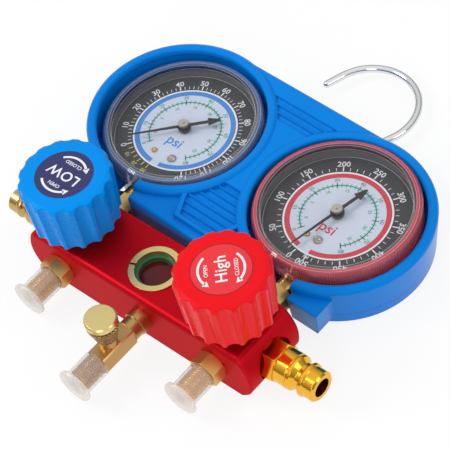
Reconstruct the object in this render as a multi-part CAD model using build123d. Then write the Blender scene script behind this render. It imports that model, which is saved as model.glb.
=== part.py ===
from build123d import *
from math import asin, cos, degrees, radians, sin, sqrt
import os

# Two-valve refrigerant manifold gauge set, lying on its back. Millimetres, +Z up.
# X runs along the manifold block from the low side to the high side, Y from the hose
# ports towards the gauges and the hook, Z out of the dials and hand wheels.
# The origin is the centre of the block's flat back face.

os.makedirs("parts", exist_ok=True)
parts = {}

# ---- driving sizes: layout ----
gauge_pitch = 96.0            # between the two gauge axes
gauge_offset = 74.0           # from the block's centre line to the gauge centres
dial_height = 24.0            # dial face above the back
sides = {"low": -1, "high": 1}

# ---- driving sizes: manifold block ----
block_length = 128.0          # at the top and bottom edges
block_depth = 35.0
block_height = 28.5
port_height = 14.25           # axes of the ports and gauge stems above the back
end_bulge = 6.0               # how far each end swells at mid height
block_edge = 3.0              # rounding of the long front and back edges
corner_edge = 1.2             # rounding of the four end corners
seat_radius = 10.5            # spot face under each parking port
seat_inset = 3.0              # depth of the spot face below the crown of the end

# ---- driving sizes: fits ----
slip = 0.05                   # radial clearance of a located or running fit
free = 0.3                    # clearance beside pieces that only pass each other

# ---- driving sizes: valves ----
bonnet_thread_radius = 8.9
bonnet_depth = 9.0
bonnet_hex = 17.0
bonnet_hex_height = 5.0
bonnet_neck_radius = 6.6
bonnet_neck_height = 4.0
gland_radius = 5.4
stem_radius = 4.0
stem_square = 5.0
seat_hole_radius = 2.2
seat_height = 9.0
seat_slope = 0.8
valve_pitch = 1.5
valve_turns = 2.0
seal_wire_radius = 0.75
knob_gap = 7.5                # from the block's top to the hand wheel
knob_height = 29.0
knob_base_radius = 21.2
knob_top_radius = 22.6
knob_edge = 2.6
knob_wall = 3.4
knob_roof = 7.0
knob_hub_radius = 7.5
flute_count = 16
flute_radius = 4.6
flute_depth = 1.7
flute_turn = {"low": 18.25, "high": 21.25}
label_radius = 13.8
label_thickness = 0.8
screw_head_radius = 3.6
screw_head_height = 2.2
screw_shank_radius = 1.9

# ---- driving sizes: sight glass ----
glass_radius = 10.5
glass_thickness = 4.4
glass_floor = 19.2
sight_chamber_radius = 8.0
sight_chamber_floor = 13.0
sight_seal_bore = 8.3
sight_seal_height = 2.8
sight_ring_radius = 12.8
sight_ring_bore = 9.9
sight_ring_height = 2.9
sight_ring_gap = 1.2
sight_ring_gap_angle = 200.0

# ---- driving sizes: hose ports and their caps ----
flare_thread_radius = 5.55
thread_pitch = 1.27
thread_depth = 0.55
thread_turns = 9
flare_bore = 2.4
flare_nose = 3.0
port_tail_radius = 4.9
port_tail = 6.0
hose_hex = 14.0
hose_hex_length = 7.5
dust_cap_wall = 1.2
dust_cap_flange_radius = 9.0
dust_cap_flange = 1.8
dust_cap_end = 0.9

# ---- driving sizes: charging tee and its service cap ----
tee_offset = 4.0
tee_collar_radius = 6.2
tee_collar_length = 5.0
tee_neck_radius = 5.6
tee_neck_length = 5.0
tee_square = 10.0
tee_edge = 0.8                # chamfer along the square bar
tee_length = 20.5
tee_branch = 11.5             # from the neck's end to the charging branch
branch_height = 16.0
branch_collar = 5.0
branch_collar_radius = 4.3
branch_thread_radius = 3.9
branch_thread_pitch = 0.9
branch_thread_turns = 10
core_radius = 2.35
pin_radius = 0.8
pin_travel = 1.5
spring_wire = 0.25
spring_radius = 1.5
spring_turns = 7
service_cap_radius = 7.6
service_cap_foot_radius = 4.8
service_cap_head = 3.2
service_cap_roof = 2.6
service_seal_thickness = 1.2

# ---- driving sizes: parking ports ----
port_hex = {"low": 14.0, "high": 18.0}
port_body_radius = {"low": 7.2, "high": 8.8}
port_neck_radius = {"low": 5.2, "high": 6.6}
port_ring_radius = {"low": 6.9, "high": 8.4}
port_tip_radius = {"low": 6.4, "high": 7.6}
port_bore = {"low": 3.4, "high": 4.7}
port_hex_length = 8.0
port_body_length = 9.0
port_neck_length = 4.4
port_ring_length = 2.6
port_tip_length = 5.6
port_bore_depth = 17.0

# ---- driving sizes: gauges ----
lens_skirt_height = 12.0
lens_rim_height = 8.0         # top of the lens rim above the dial
lens_wall = 2.95              # of the skirt, round the case
lens_face = 1.6
lens_dome = 1.4
case_radius = 37.0
case_wall = 1.0
case_lip_height = 4.5         # case lip above the dial
dial_gap = 0.6                # between the dial and the case wall
dial_thickness = 0.8
gasket_width = 1.0
gasket_height = 0.9
socket_hex = 14.0
socket_hex_length = 10.0
socket_tail_radius = 5.2
socket_tail = 6.0
socket_block = 13.0
tube_inset = 8.8              # from the socket's face to the middle of the tube
tube_width = 2.4
tube_height = 8.0
tube_sweep = 235.0
frame_thickness = 1.2
frame_floor = 9.0
frame_gap = 8.0
frame_width = 12.0
frame_end = 5.2
pillar_radius = 1.1
movement_angle = 150.0        # direction from the pointer shaft to the sector's arbor
sector_hub_radius = 2.2
sector_tail = 5.0
gear_module = 0.4
pinion_teeth = 10
sector_teeth_round = 80       # teeth that a full circle would have
sector_tooth_count = 15
sector_thickness = 1.2
pinion_thickness = 2.4
shaft_radius = 0.9
needle_length = 27.0
tail_length = 17.0
needle_width = 1.5
needle_thickness = 0.6
needle_height = 3.0           # underside of the pointer above the dial
hub_radius = 2.6
needle_angle = {"low": 225.0, "high": 257.0}
dial_screw_radius = 2.2
brass_screw_radius = 1.5
screw_place = {"low": (6.8, -17.6), "high": (1.3, -16.6)}
brass_place = {"low": (-4.2, -18.1), "high": (-5.2, -16.6)}

# ---- driving sizes: boot, in its own level frame before it is tilted ----
boot_tilt = 3.8               # the high side is pressed further onto its gauge
boot_mouth_gap = 1.9          # round the lens
boot_band = 5.1               # from the mouth to the outside
boot_foot_inset = 1.4
boot_floor = 7.0
boot_rim = 32.0
boot_wall = 2.4
boot_lip = 4.4
boot_grip_height = 2.4
web_top = 31.0
web_back = 120.5
web_half_width = 40.0
panel_back = 56.0
panel_middle = 43.0
panel_front = 27.3
panel_half_width = {"back": 20.0, "middle": 18.5, "front": 12.3}
panel_frame = 2.2
panel_recess = 0.6
panel_bands = 7
groove_depth = 1.8
groove_width = 3.0
groove_pitch = 4.0
apron_front = 23.0
apron_half_width = 38.0
apron_top = 28.5
apron_edge = 1.6
stem_notch = 9.4              # half width of the opening for each gauge stem
tab_half_width = 8.6
tab_gap = 0.6                 # from the stem opening to the tab
tab_front = 24.2
tab_back = 44.0
tab_floor = 10.8
tab_top = 26.6
tab_taper = 4.0
hook_channel = 3.0            # half width of the channel for the hook's shank

# ---- driving sizes: hook ----
hook_wire_radius = 2.0
hook_height = 6.0
hook_bend_radius = 25.1
hook_centre = (6.8, 147.0)
hook_bow_start = -25.0
hook_bow_end = 160.0
hook_neck_y = 127.5
hook_neck_radius = 5.5
hook_tip_length = 9.0
hook_head_radius = 3.6
hook_head_length = 3.0
bush_radius = 4.5
bush_flange_radius = 5.6
bush_flange = 2.4
bush_depth = 9.0

# ---- places worked out from the sizes above ----
gauge_x = gauge_pitch / 2
block_face = block_depth / 2
end_crown = block_length / 2 + end_bulge
port_seat = end_crown - seat_inset
case_height = dial_height + case_lip_height
lens_radius = case_radius + slip + lens_wall
dial_radius = case_radius - case_wall - dial_gap
boot_mouth_radius = lens_radius + boot_mouth_gap
boot_radius = boot_mouth_radius + boot_band
boot_foot_radius = boot_radius - boot_foot_inset
needle_floor = dial_height + needle_height
tee_root = block_face + tee_collar_length + tee_neck_length
tee_end = tee_root + tee_length
branch_y = -(tee_root + tee_branch)
branch_floor = port_height + tee_square / 2
branch_top = branch_floor + branch_height

towards = {
    "front": Rot(90, 0, 0),
    "back": Rot(-90, 0, 0),
    "high": Rot(0, 90, 0),
    "low": Rot(0, -90, 0),
}


def turned(*profile):
    """Solid turned about Z from (radius, height) points; it is closed on the axis."""
    outline = [(radius, 0, height) for radius, height in profile]
    if outline[0][0] > 0:
        outline.insert(0, (0, 0, outline[0][2]))
    if outline[-1][0] > 0:
        outline.append((0, 0, outline[-1][2]))
    return revolve(make_face(Polyline(*outline, close=True)), Axis.Z)


def ring(bore, radius, floor, top):
    """Plain ring about Z."""
    return turned((radius, floor), (radius, top)) - turned((bore, floor - 1), (bore, top + 1))


def hexagon(across_flats, floor, top):
    """Hexagonal bar along Z with its corners turned down, flats facing X."""
    bar = Pos(0, 0, floor) * extrude(
        RegularPolygon(across_flats / 2, 6, major_radius=False, rotation=30), top - floor
    )
    corner = across_flats / sqrt(3)
    chamfered = corner - across_flats / 2
    blank = turned(
        (corner - chamfered * 0.7, floor),
        (corner + 0.01, floor + chamfered * 0.45),
        (corner + 0.01, top - chamfered * 0.45),
        (corner - chamfered * 0.7, top),
    )
    return bar & blank


def thread(radius, floor, turns, pitch=thread_pitch, depth=thread_depth):
    """(radius, height) points of thread ridges that rise from floor."""
    crest = []
    for turn in range(turns):
        base = floor + turn * pitch
        crest += [(radius - depth, base), (radius, base + pitch * 0.45)]
        crest += [(radius, base + pitch * 0.55)]
    return crest + [(radius - depth, floor + turns * pitch)]


def bar(radius, floor, top):
    """Round bar along Z."""
    return turned((radius, floor), (radius, top))


# ---- manifold block ----
def manifold_block():
    half, crown = block_length / 2, end_crown
    with BuildSketch(Plane.XZ) as front:
        with BuildLine():
            Line((-half, 0), (half, 0))
            ThreePointArc((half, 0), (crown, port_height), (half, block_height))
            Line((half, block_height), (-half, block_height))
            ThreePointArc((-half, block_height), (-crown, port_height), (-half, 0))
        make_face()
    block = extrude(front.sketch, block_face, both=True)
    long_edges = block.edges().filter_by(Axis.X)
    block = fillet(long_edges.group_by(Axis.Z)[-1].sort_by(Axis.Y)[0], block_edge)
    block = chamfer(block.edges().filter_by(GeomType.CIRCLE), corner_edge)

    for side, sign in sides.items():
        axis = Pos(sign * gauge_x, 0, 0)
        block -= axis * bar(bonnet_thread_radius + slip, block_height - bonnet_depth, block_height + 1)
        block -= axis * bar(gland_radius + slip, seat_height, block_height)
        block -= axis * bar(seat_hole_radius, port_height / 3, block_height)
        across = Pos(sign * gauge_x, 0, port_height)
        hole = bar(port_tail_radius + slip, block_face - port_tail - 0.5, block_face + 1)
        block -= across * towards["front"] * (hole + bar(flare_bore, 0, block_face))
        hole = bar(socket_tail_radius + slip, block_face - socket_tail - 0.5, block_face + 1)
        block -= across * towards["back"] * (hole + bar(flare_bore, 0, block_face))
        end = Pos(0, 0, port_height) * towards[side]
        block -= end * bar(seat_radius, port_seat, end_crown + 1)
        block -= end * bar(port_neck_radius["low"] + slip, port_seat - port_tail - 0.5, port_seat + 1)

    block -= bar(sight_ring_radius + slip, glass_floor + glass_thickness + sight_seal_height, block_height + 1)
    block -= bar(glass_radius + slip, glass_floor, block_height)
    block -= bar(sight_chamber_radius, sight_chamber_floor, block_height)
    block -= bar(seat_hole_radius, port_height / 3, block_height)
    passage = Pos(-gauge_x, 0, port_height / 3) * towards["high"]
    block -= passage * bar(seat_hole_radius * 0.8, 0, gauge_pitch)
    centre = Pos(tee_offset, 0, port_height) * towards["front"]
    block -= centre * bar(port_tail_radius + slip, block_face - port_tail - 0.5, block_face + 1)
    block -= centre * bar(flare_bore, 0, block_face)
    hook_hole = Pos(0, 0, hook_height) * towards["back"]
    block -= hook_hole * bar(bush_radius + slip, block_face - bush_depth - hook_head_length - 1.0, block_face + 1)
    return block


parts["manifold_block"] = manifold_block()


# ---- sight glass in the middle of the block ----
seal_floor = glass_floor + glass_thickness
ring_floor = seal_floor + sight_seal_height
parts["sight_glass"] = bar(glass_radius, glass_floor, seal_floor)
parts["sight_glass_seal"] = ring(sight_seal_bore, glass_radius, seal_floor, ring_floor)
sight_ring = ring(sight_ring_bore, sight_ring_radius, ring_floor, ring_floor + sight_ring_height)
slot = Pos(sight_ring_radius, 0, ring_floor + sight_ring_height / 2) * Box(
    sight_ring_radius, sight_ring_gap, sight_ring_height + 1
)
parts["sight_glass_ring"] = sight_ring - Rot(0, 0, sight_ring_gap_angle) * slot


# ---- valves: bonnet, stem, stem seal, hand wheel, screw and label ----
bonnet_top = block_height + bonnet_hex_height + bonnet_neck_height
knob_floor = block_height + knob_gap
knob_top = knob_floor + knob_height
stem_top = knob_top - knob_roof + 1.0
valve_lift = valve_pitch * valve_turns
gland_top = bonnet_top - 2.0
seal_height = gland_top - valve_lift - 2.2
seal_track = gland_radius - slip - seal_wire_radius


def valve_bonnet():
    nut = bar(bonnet_thread_radius, block_height - bonnet_depth, block_height)
    nut += hexagon(bonnet_hex, block_height, block_height + bonnet_hex_height)
    neck_floor = block_height + bonnet_hex_height
    nut += turned(
        (bonnet_neck_radius, neck_floor),
        (bonnet_neck_radius, bonnet_top - 0.6),
        (bonnet_neck_radius - 0.6, bonnet_top),
    )
    nut -= bar(gland_radius, block_height - bonnet_depth - 1, gland_top)
    return nut - bar(stem_radius + slip, gland_top - 1, bonnet_top + 1)


def valve_stem():
    groove_half = seal_wire_radius + slip
    bottom = seal_track - seal_wire_radius - slip
    land = gland_radius - slip
    waist = stem_radius - 0.6
    cone_tip = seat_height + slip - seat_hole_radius * seat_slope
    body = turned(
        (0, cone_tip),
        (waist, cone_tip + waist * seat_slope),
        (waist, block_height - bonnet_depth - 1.0),
        (land, block_height - bonnet_depth),
        (land, seal_height - groove_half),
        (bottom, seal_height - groove_half),
        (bottom, seal_height + groove_half),
        (land, seal_height + groove_half),
        (land, seal_height + groove_half + 1.0),
        (stem_radius, seal_height + groove_half + 1.0),
        (stem_radius, knob_floor + 4.0),
    )
    square_floor = knob_floor + 4.0
    square = Pos(0, 0, (square_floor + stem_top) / 2) * Box(
        stem_square, stem_square, stem_top - square_floor
    )
    return body + square - bar(screw_shank_radius, stem_top - 8, stem_top + 1)


def hand_wheel(side):
    slope = degrees(asin((knob_top_radius - knob_base_radius) / knob_height))
    wheel = turned(
        (knob_base_radius, knob_floor),
        (knob_top_radius - 0.05, knob_top - knob_edge),
        (knob_top_radius - knob_edge * 0.3, knob_top - knob_edge * 0.3),
        (knob_top_radius - knob_edge * 1.2, knob_top),
    )
    flute = Pos(knob_base_radius + flute_radius - flute_depth, 0, knob_floor) * Rot(0, slope, 0)
    flute *= bar(flute_radius, -3, knob_height + 3)
    for turn in range(flute_count):
        wheel -= Rot(0, 0, flute_turn[side] + turn * 360 / flute_count) * flute
    hollow = knob_base_radius - flute_depth - knob_wall
    wheel -= ring(knob_hub_radius, hollow, knob_floor - 1, knob_top - knob_roof)
    wheel -= bar(bonnet_neck_radius + 1.2, knob_floor - 1, bonnet_top + 1.5)
    socket = stem_square + 2 * slip
    wheel -= Pos(0, 0, (knob_floor + stem_top) / 2) * Box(socket, socket, stem_top - knob_floor)
    wheel -= bar(stem_radius + slip, knob_floor - 1, knob_floor + 4.0 + slip)
    wheel -= bar(screw_shank_radius + slip, knob_floor, knob_top + 1)
    label_floor = knob_top - label_thickness - slip
    wheel -= bar(screw_head_radius + free, label_floor - screw_head_height - free, knob_top + 1)
    return wheel - bar(label_radius + slip, label_floor, knob_top + 1)


def knob_screw():
    top = knob_top - label_thickness - slip - free
    head_floor = top - screw_head_height
    screw = turned(
        (screw_shank_radius - slip, stem_top - 7.5),
        (screw_shank_radius - slip, head_floor),
        (screw_head_radius, head_floor),
        (screw_head_radius, top - 0.7),
        (screw_head_radius - 0.7, top),
    )
    for turn in (0, 90):
        screw -= Pos(0, 0, top) * Rot(0, 0, turn) * Box(3.6, 0.8, 2.4)
    return screw


for side, sign in sides.items():
    place = Pos(sign * gauge_x, 0, 0)
    parts[f"{side}_valve_bonnet"] = place * valve_bonnet()
    parts[f"{side}_valve_stem"] = place * valve_stem()
    parts[f"{side}_stem_seal"] = place * Pos(0, 0, seal_height) * Torus(seal_track, seal_wire_radius)
    parts[f"{side}_knob"] = place * hand_wheel(side)
    parts[f"{side}_knob_screw"] = place * knob_screw()
    label = bar(label_radius, knob_top - label_thickness, knob_top)
    parts[f"{side}_knob_label"] = place * label


# ---- hose ports: brass flare fittings under push-on dust caps ----
def flare_end(root):
    """Threaded flare end along +Z from root, with a coned nose."""
    start = root + 0.6
    nose = start + thread_turns * thread_pitch
    return turned(
        (flare_thread_radius - thread_depth, root),
        *thread(flare_thread_radius, start, thread_turns),
        (flare_bore + 0.6, nose + flare_nose),
    )


flare_length = 0.6 + thread_turns * thread_pitch + flare_nose


def hose_fitting():
    root = block_face + hose_hex_length
    fitting = bar(port_tail_radius, block_face - port_tail, block_face)
    fitting += hexagon(hose_hex, block_face, root)
    fitting += flare_end(root)
    return fitting - bar(flare_bore, block_face - port_tail - 1, root + flare_length + 1)


def dust_cap(root):
    """Translucent plastic cap pushed over a flare end, open towards its root."""
    inner = flare_thread_radius + slip
    outer = inner + dust_cap_wall
    end = root + flare_length + dust_cap_end + free
    shell = turned(
        (outer - 0.3, root),
        (outer, root + 0.3),
        (outer, end - dust_cap_flange),
        (dust_cap_flange_radius - 0.3, end - dust_cap_flange),
        (dust_cap_flange_radius, end - dust_cap_flange / 2),
        (dust_cap_flange_radius - 0.3, end),
    )
    return shell - bar(inner, root - 1, end - dust_cap_end)


for side, sign in sides.items():
    across = Pos(sign * gauge_x, 0, port_height) * towards["front"]
    parts[f"{side}_hose_fitting"] = across * hose_fitting()
    parts[f"{side}_dust_cap"] = across * dust_cap(block_face + hose_hex_length)


# ---- charging tee in the middle, with a valve core and a knurled service cap ----
branch_thread_floor = branch_top - branch_thread_turns * branch_thread_pitch
core_top = branch_top - 1.0
core_floor = branch_floor + 1.0
spring_floor = core_floor + 1.2
spring_top = core_top - 3.4
core_chamber_radius = spring_radius + spring_wire + 0.2
cap_floor = branch_floor + branch_collar + slip
cap_bore_roof = branch_top + slip + service_seal_thickness
cap_top = cap_bore_roof + service_cap_roof


def charging_tee():
    along = Pos(tee_offset, 0, port_height) * towards["front"]
    tee = bar(port_tail_radius, block_face - port_tail, block_face)
    tee += bar(tee_collar_radius, block_face, block_face + tee_collar_length)
    tee += bar(tee_neck_radius, block_face, tee_root)
    square = Box(tee_square, tee_square, tee_length)
    square = chamfer(square.edges().filter_by(Axis.Z), tee_edge)
    tee += Pos(0, 0, tee_root + tee_length / 2) * square
    tee += flare_end(tee_end)
    tee -= bar(flare_bore, block_face - port_tail - 1, tee_end + flare_length + 1)
    branch = turned(
        (branch_collar_radius, branch_floor - 1.5),
        (branch_collar_radius, branch_floor + branch_collar),
        (branch_thread_radius - 0.4, branch_floor + branch_collar),
        *thread(branch_thread_radius, branch_thread_floor, branch_thread_turns, branch_thread_pitch, 0.4),
    )
    tee = along * tee + charge_axis * branch
    return tee - charge_axis * bar(core_radius + slip, port_height, branch_top + 1)


def valve_core():
    core = bar(core_radius, core_floor, core_top)
    core -= bar(core_chamber_radius, spring_floor, spring_top + 0.6)
    return core - bar(pin_radius + slip, core_floor - 1, core_top + 1)


def valve_pin():
    pin = bar(pin_radius, core_floor - 0.6, core_top + 1.6)
    return pin + bar(spring_radius + spring_wire, spring_top, spring_top + 0.6)


def valve_spring():
    height = spring_top - spring_floor - 2 * spring_wire
    coil = Helix(pitch=height / spring_turns, height=height, radius=spring_radius)
    section = Plane(origin=coil @ 0, z_dir=coil % 0) * Circle(spring_wire)
    return Pos(0, 0, spring_floor + spring_wire) * sweep(section, path=coil, is_frenet=True)


def service_cap():
    neck = service_cap_radius - 0.9
    cap = turned(
        (service_cap_foot_radius, cap_floor),
        (service_cap_foot_radius + 0.4, cap_floor + 0.4),
        (service_cap_radius, cap_top - service_cap_head - 2.2),
        (service_cap_radius, cap_top - service_cap_head - 1.2),
        (neck, cap_top - service_cap_head - 0.9),
        (neck, cap_top - service_cap_head - 0.2),
        (service_cap_radius, cap_top - service_cap_head),
        (service_cap_radius, cap_top - 0.6),
        (service_cap_radius - 0.6, cap_top),
    )
    return cap - bar(branch_thread_radius + slip, cap_floor - 1, cap_bore_roof)


charge_axis = Pos(tee_offset, branch_y, 0)
tee_axis = Pos(tee_offset, 0, port_height) * towards["front"]
parts["charging_tee"] = charging_tee()
parts["charging_dust_cap"] = tee_axis * dust_cap(tee_end)
parts["charging_valve_core"] = charge_axis * valve_core()
parts["charging_valve_pin"] = charge_axis * valve_pin()
parts["charging_valve_spring"] = charge_axis * valve_spring()
parts["service_cap"] = charge_axis * service_cap()
washer = ring(core_radius, branch_thread_radius, branch_top + slip, cap_bore_roof)
parts["service_cap_seal"] = charge_axis * washer


# ---- parking ports that hold the idle quick couplers ----
def parking_port(side):
    tip, body = port_tip_radius[side], port_body_radius[side]
    neck, collar = port_neck_radius[side], port_ring_radius[side]
    hex_end = port_seat + port_hex_length
    body_end = hex_end + port_body_length
    neck_end = body_end + port_neck_length
    ring_end = neck_end + port_ring_length
    end = ring_end + port_tip_length
    port = bar(port_neck_radius["low"], port_seat - port_tail, port_seat)
    port += hexagon(port_hex[side], port_seat, hex_end)
    port += turned(
        (body - 0.5, hex_end - 0.5),
        (body, hex_end + 0.5),
        (body, body_end - 2.6),
        (body - 0.5, body_end - 2.2),
        (body, body_end - 1.6),
        (body - 0.2, body_end - 0.4),
        (neck, body_end + port_neck_length * 0.4),
        (neck, neck_end - port_neck_length * 0.2),
        (collar - 0.4, neck_end),
        (collar, neck_end + 0.6),
        (collar - 0.2, ring_end - 0.8),
        (tip, ring_end),
        (tip, end - 0.9),
        (tip - 0.9, end),
    )
    return port - bar(port_bore[side], end - port_bore_depth, end + 1)


for side in sides:
    parts[f"{side}_parking_port"] = Pos(0, 0, port_height) * towards[side] * parking_port(side)


# ---- gauges: case, socket, tube, movement, dial, pointer, gasket and lens ----
def gauge_case():
    outside = turned(
        (case_radius - 1.5, 0),
        (case_radius, 1.5),
        (case_radius, case_height),
    )
    inside = turned(
        (case_radius - case_wall - 1.0, case_wall),
        (case_radius - case_wall, case_wall + 1.0),
        (case_radius - case_wall, case_height + 1),
    )
    ledge = ring(dial_radius - 2.4, case_radius - case_wall + 0.2,
                 dial_height - dial_thickness - 1.6, dial_height - dial_thickness)
    case = outside - inside + ledge
    hole = Pos(0, 0, port_height) * towards["front"]
    return case - hole * bar(socket_tail_radius + slip, case_radius - 4, case_radius + 2)


socket_face = case_radius - case_wall - 1.2
tube_radius = socket_face - tube_inset


def gauge_socket():
    """Brass stem: threaded tail in the block, hexagon, neck and the block inside the case."""
    hex_end = gauge_offset - block_face - 2.0
    tail_end = gauge_offset - block_face + socket_tail
    socket = hexagon(socket_hex, hex_end - socket_hex_length, hex_end)
    socket += bar(socket_tail_radius, socket_face - 1, tail_end)
    socket = Pos(0, 0, port_height) * towards["front"] * socket
    foot = Pos(0, socket_block / 2 - socket_face, port_height)
    socket += foot * Box(socket_block, socket_block, tube_height + 2)
    bore = Pos(0, -tail_end, port_height) * towards["back"]
    return socket - bore * bar(1.5, -1, tail_end - socket_face + socket_block / 2)


def bourdon_tube():
    """Flattened C-shaped tube, soldered to the socket's side and closed at its free end."""
    place = Plane.XZ * Pos(tube_radius, port_height)
    section = place * RectangleRounded(tube_width, tube_height, tube_width * 0.45)
    hollow = place * RectangleRounded(tube_width - 0.7, tube_height - 0.7, tube_width * 0.3)
    tube = revolve(section, Axis.Z, tube_sweep) - revolve(hollow, Axis.Z, tube_sweep - 3)
    start = asin(socket_block / 2 / (tube_radius + tube_width / 2))
    foot = Pos(0, socket_block / 2 - socket_face, port_height)
    return Rot(0, 0, degrees(start) - 90) * tube - foot * Box(socket_block, socket_block, 20)


gear_height = frame_floor + frame_thickness + frame_gap / 2
frame_roof = frame_floor + 2 * frame_thickness + frame_gap
centre_distance = gear_module * (pinion_teeth + sector_teeth_round) / 2
sector_ratio = sector_teeth_round / pinion_teeth
sector_pivot = Rot(0, 0, movement_angle) * Pos(centre_distance, 0, 0)
pointer_range = {"low": (-279.0, 46.0), "high": (-345.0, 6.0)}


def gear_teeth(teeth, count, first, thickness, root):
    """Wedge-shaped teeth on a pitch circle, thin enough to run with play."""
    pitch_radius = gear_module * teeth / 2
    tip = pitch_radius + gear_module * 0.8
    half_root = gear_module * 0.62
    half_tip = gear_module * 0.26
    valley = pitch_radius - gear_module
    tooth = Polyline(
        (root, -half_root), (valley, -half_root), (tip, -half_tip),
        (tip, half_tip), (valley, half_root), (root, half_root), close=True,
    )
    blank = extrude(make_face(tooth), thickness)
    return [Rot(0, 0, first + turn * 360 / teeth) * blank for turn in range(count)]


def pointer_shaft():
    root = gear_module * pinion_teeth / 2 - gear_module
    floor = gear_height - pinion_thickness / 2
    pinion = bar(root, floor, floor + pinion_thickness)
    first = movement_angle + 180 / pinion_teeth
    for tooth in gear_teeth(pinion_teeth, pinion_teeth, first, pinion_thickness, root * 0.5):
        pinion += Pos(0, 0, floor) * tooth
    return pinion + bar(shaft_radius, frame_floor + slip, needle_floor + needle_thickness + 0.8)


def sector_gear(side):
    """Toothed sector on its arbor, with the tail that the tube's link pulls."""
    root = gear_module * sector_teeth_round / 2 - gear_module
    facing = movement_angle + 180
    step = 360 / sector_teeth_round
    swing = sum(pointer_range[side]) / 2 / sector_ratio
    first = facing + round(swing / step - (sector_tooth_count - 1) / 2) * step
    half = radians((sector_tooth_count + 0.4) * step / 2)
    rim_a = (root * cos(half), root * sin(half))
    rim_b = (root * cos(half), -root * sin(half))
    with BuildSketch() as flat:
        with BuildLine():
            Line((0, -1.6), rim_b)
            ThreePointArc(rim_b, (root, 0), rim_a)
            Line(rim_a, (0, 1.6))
            Line((0, 1.6), (0, -1.6))
        make_face()
        Circle(sector_hub_radius)
        with Locations((-sector_tail / 2, 0)):
            Rectangle(sector_tail, 2.4)
        with Locations((root * 0.58, 0)):
            Circle(root * 0.15, mode=Mode.SUBTRACT)
    centre = first + (sector_tooth_count - 1) * step / 2
    gear = Rot(0, 0, centre) * extrude(flat.sketch, sector_thickness)
    for tooth in gear_teeth(sector_teeth_round, sector_tooth_count, first, sector_thickness, root - 1.0):
        gear += tooth
    gear = Pos(0, 0, gear_height - sector_thickness / 2) * gear
    return gear + bar(shaft_radius, frame_floor + slip, frame_roof - slip)


def movement_frame():
    """Two brass plates on pillars that carry the pinion and the sector arbor."""
    top_floor = frame_roof - frame_thickness
    frame = Part()
    for floor in (frame_floor, top_floor):
        plate = Box(centre_distance + 2 * frame_end, frame_width, frame_thickness)
        frame += Pos(centre_distance / 2, 0, floor + frame_thickness / 2) * plate
    pillar = bar(pillar_radius, frame_floor, top_floor)
    reach = frame_width / 2 - pillar_radius
    frame += Pos(pillar_radius + 0.2 - frame_end, 0, 0) * pillar
    frame += Pos(centre_distance, reach, 0) * pillar
    frame += Pos(centre_distance, -reach, 0) * pillar
    frame = Rot(0, 0, movement_angle) * frame
    arm_end = socket_face - socket_block
    frame += Pos(0, -arm_end / 2, frame_floor + frame_thickness / 2) * Box(6.0, arm_end, frame_thickness)
    frame -= bar(shaft_radius + slip, 0, frame_roof + 1)
    return frame - sector_pivot * bar(shaft_radius + slip, 0, frame_roof + 1)


screw_shank = 0.8


def dial_plate(side):
    plate = bar(dial_radius, dial_height - dial_thickness, dial_height)
    plate -= bar(shaft_radius + 0.9, 0, dial_height + 1)
    for place in (screw_place[side], brass_place[side]):
        plate -= Pos(*place, 0) * bar(screw_shank + slip, 0, dial_height + 1)
    return plate


def slotted_screw(radius, head):
    screw = turned(
        (screw_shank, dial_height - dial_thickness - 1.0),
        (screw_shank, dial_height),
        (radius, dial_height),
        (radius, dial_height + head - 0.3),
        (radius - 0.3, dial_height + head),
    )
    return screw - Pos(0, 0, dial_height + head) * Box(2 * radius + 1, radius * 0.35, head)


def pointer(side):
    with BuildSketch() as flat:
        with BuildLine():
            Polyline((0, -needle_width / 2), (needle_length, -0.25), (needle_length, 0.25),
                     (0, needle_width / 2), close=True)
        make_face()
        with Locations((-tail_length / 2, 0)):
            Rectangle(tail_length, needle_width)
        with BuildLine():
            head = tail_length - 5.0
            Polyline((-head, -2.3), (-tail_length - 1.0, -0.4), (-tail_length - 1.0, 0.4),
                     (-head, 2.3), close=True)
        make_face()
        Circle(hub_radius)
    hand = Pos(0, 0, needle_floor) * extrude(flat.sketch, needle_thickness)
    hand += turned(
        (hub_radius, needle_floor),
        (hub_radius, needle_floor + needle_thickness + 0.6),
        (hub_radius - 0.6, needle_floor + needle_thickness + 1.2),
    )
    hand -= bar(shaft_radius, needle_floor - 1, needle_floor + needle_thickness + 0.8)
    return Rot(0, 0, needle_angle[side]) * hand


def gauge_lens():
    """Clear screw-on lens: face with a shallow dome, rounded rim and deep skirt."""
    rim = dial_height + lens_rim_height
    foot = rim - lens_skirt_height
    shell = turned(
        (lens_radius - 0.4, foot),
        (lens_radius, foot + 0.8),
        (lens_radius, rim - 2.0),
        (lens_radius - 0.7, rim - 0.6),
        (lens_radius - 2.2, rim),
        (lens_radius - 5.0, rim),
        (lens_radius - 8.0, rim + lens_dome * 0.6),
        (lens_radius - 20.0, rim + lens_dome),
    )
    bore = case_radius + slip
    shoulder = case_radius - gasket_width - 0.6
    hollow = turned(
        (bore, foot - 1),
        (bore, case_height + gasket_height),
        (shoulder, case_height + gasket_height),
        (shoulder, rim - lens_face),
        (lens_radius - 8.0, rim - lens_face + lens_dome * 0.5),
        (lens_radius - 20.0, rim - lens_face + lens_dome),
    )
    return shell - hollow


def lens_gasket():
    return ring(case_radius - gasket_width, case_radius, case_height, case_height + gasket_height)


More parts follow.
